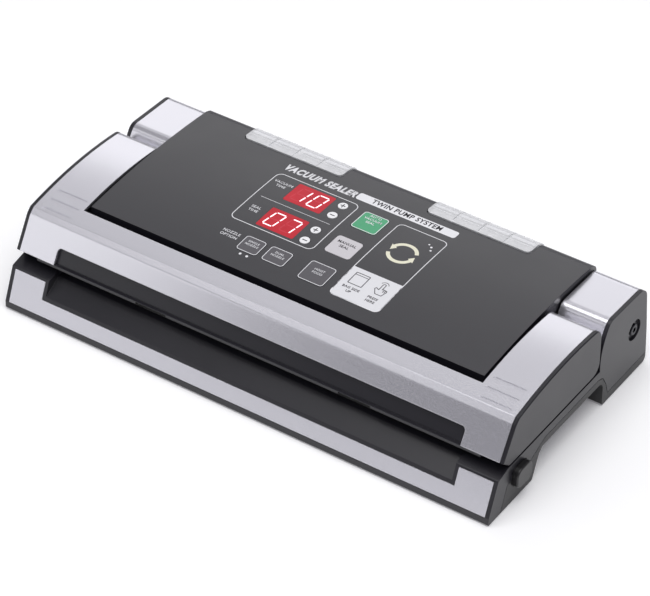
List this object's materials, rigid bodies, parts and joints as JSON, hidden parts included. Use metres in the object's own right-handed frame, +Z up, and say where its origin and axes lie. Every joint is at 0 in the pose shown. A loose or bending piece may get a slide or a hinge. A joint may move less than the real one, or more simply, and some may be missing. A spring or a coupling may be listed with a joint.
{
  "type": "vacuum sealer",
  "caption": "Wide countertop vacuum sealer with a hinged lid, slim sliding nozzles, sloping bag recess, keypad with red displays and clear filter cups.",
  "frame": {"origin": "on the table, under the middle of the case", "axes": "+Z up, -Y towards the user (bag side), +X to the right seen from the front"},
  "size_m": [0.415, 0.2069, 0.0779],
  "materials": {
    "black_plastic": "satin moulded black ABS",
    "pan_plastic": "fine textured black ABS",
    "silver_paint": "fine metallic silver paint on ABS",
    "panel_gloss": "satin graphite overlay",
    "key_green": "satin green",
    "key_grey": "satin light grey",
    "key_dark": "satin graphite",
    "key_white": "white",
    "display_red": "tinted lens",
    "clear_plastic": "clear polycarbonate",
    "foam": "open-cell foam",
    "silicone": "soft silicone",
    "rubber": "matte rubber",
    "steel": "plain steel",
    "heating_alloy": "nickel chrome strip",
    "ptfe": "woven glass tape with PTFE",
    "phenolic": "phenolic board",
    "guide_plastic": "grey nylon",
    "motor_metal": "zinc-plated can",
    "circuit_board": "green solder mask",
    "component_black": "black",
    "button_black": "satin black",
    "brass": "plated brass"
  },
  "bodies": {
    "base": {"air_hoses": "silicone", "base_deck": "black_plastic", "bottom_pan": "pan_plastic", "button_spring_left": "steel", "button_spring_right": "steel", "front_trim": "silver_paint", "heater_bar": "phenolic", "heating_strip": "heating_alloy", "hinge_pin_left": "steel", "hinge_pin_right": "steel", "inlet_pins": "brass", "lower_sponge": "foam", "nozzle_guide_left": "guide_plastic", "nozzle_guide_right": "guide_plastic", "pan_screws": "steel", "power_board": "circuit_board", "power_inlet": "component_black", "power_switch_frame": "component_black", "ptfe_tape": "ptfe", "pump_head_left": "guide_plastic", "pump_head_right": "guide_plastic", "pump_motor_left": "motor_metal", "pump_motor_right": "motor_metal", "rear_cover_left": "silver_paint", "rear_cover_right": "silver_paint", "rubber_feet": "rubber", "transformer": "steel"},
    "lid": {"lid_cover": "silver_paint", "lid_cap_left": "black_plastic", "lid_cap_right": "black_plastic", "lid_inner_shell": "black_plastic", "control_panel": "panel_gloss", "control_board": "circuit_board", "key_switches": "component_black", "display_modules": "component_black", "display_window_vacuum": "display_red", "display_window_seal": "display_red", "lid_screws": "steel", "upper_sponge": "foam", "press_strip": "silicone", "filter_foam_left": "foam", "filter_foam_right": "foam"},
    "power_switch": {"power_switch": "component_black"},
    "release_left": {"release_button_left": "button_black", "latch_hook_left": "button_black"},
    "nozzle_left": {"nozzle_left": "steel"},
    "filter_cup_left": {"filter_cup_left": "clear_plastic"},
    "release_right": {"release_button_right": "button_black", "latch_hook_right": "button_black"},
    "nozzle_right": {"nozzle_right": "steel"},
    "filter_cup_right": {"filter_cup_right": "clear_plastic"},
    "key_auto": {"key_auto": "key_green"},
    "key_dual_nozzle": {"key_dual_nozzle": "key_dark"},
    "key_manual": {"key_manual": "key_grey"},
    "key_moist": {"key_moist": "key_dark"},
    "key_seal_minus": {"key_seal_minus": "key_white"},
    "key_seal_plus": {"key_seal_plus": "key_white"},
    "key_single_nozzle": {"key_single_nozzle": "key_dark"},
    "key_vacuum_minus": {"key_vacuum_minus": "key_white"},
    "key_vacuum_plus": {"key_vacuum_plus": "key_white"}
  },
  "joints": [
    {"name": "lid_hinge", "type": "hinge", "parent": "base", "child": "lid", "pos_m": [0, 0.0839, 0.0406], "axis": [-1, 0, 0], "range_deg": [0, 60]},
    {"name": "release_left_press", "type": "slide", "parent": "base", "child": "release_left", "axis": [1, 0, 0], "range_m": [0, 0.003], "stiffness_N_per_m": 800},
    {"name": "nozzle_left_slide", "type": "slide", "parent": "base", "child": "nozzle_left", "axis": [0, -1, 0], "range_m": [0, 0.038]},
    {"name": "filter_cup_left_lift", "type": "slide", "parent": "lid", "child": "filter_cup_left", "axis": [0, 0, 1], "range_m": [0, 0.02]},
    {"name": "release_right_press", "type": "slide", "parent": "base", "child": "release_right", "axis": [-1, 0, 0], "range_m": [0, 0.003], "stiffness_N_per_m": 800},
    {"name": "nozzle_right_slide", "type": "slide", "parent": "base", "child": "nozzle_right", "axis": [0, -1, 0], "range_m": [0, 0.038]},
    {"name": "filter_cup_right_lift", "type": "slide", "parent": "lid", "child": "filter_cup_right", "axis": [0, 0, 1], "range_m": [0, 0.02]},
    {"name": "key_auto_press", "type": "slide", "parent": "lid", "child": "key_auto", "axis": [0, 0, -1], "range_m": [0, 0.0005], "stiffness_N_per_m": 900},
    {"name": "key_dual_nozzle_press", "type": "slide", "parent": "lid", "child": "key_dual_nozzle", "axis": [0, 0, -1], "range_m": [0, 0.0005], "stiffness_N_per_m": 900},
    {"name": "key_manual_press", "type": "slide", "parent": "lid", "child": "key_manual", "axis": [0, 0, -1], "range_m": [0, 0.0005], "stiffness_N_per_m": 900},
    {"name": "key_moist_press", "type": "slide", "parent": "lid", "child": "key_moist", "axis": [0, 0, -1], "range_m": [0, 0.0005], "stiffness_N_per_m": 900},
    {"name": "key_seal_minus_press", "type": "slide", "parent": "lid", "child": "key_seal_minus", "axis": [0, 0, -1], "range_m": [0, 0.0005], "stiffness_N_per_m": 900},
    {"name": "key_seal_plus_press", "type": "slide", "parent": "lid", "child": "key_seal_plus", "axis": [0, 0, -1], "range_m": [0, 0.0005], "stiffness_N_per_m": 900},
    {"name": "key_single_nozzle_press", "type": "slide", "parent": "lid", "child": "key_single_nozzle", "axis": [0, 0, -1], "range_m": [0, 0.0005], "stiffness_N_per_m": 900},
    {"name": "key_vacuum_minus_press", "type": "slide", "parent": "lid", "child": "key_vacuum_minus", "axis": [0, 0, -1], "range_m": [0, 0.0005], "stiffness_N_per_m": 900},
    {"name": "key_vacuum_plus_press", "type": "slide", "parent": "lid", "child": "key_vacuum_plus", "axis": [0, 0, -1], "range_m": [0, 0.0005], "stiffness_N_per_m": 900},
    {"name": "power_switch_rock", "type": "hinge", "parent": "base", "child": "power_switch", "pos_m": [0.182, 0.0985, 0.02], "axis": [1, 0, 0], "range_deg": [0, 16]}
  ]
}
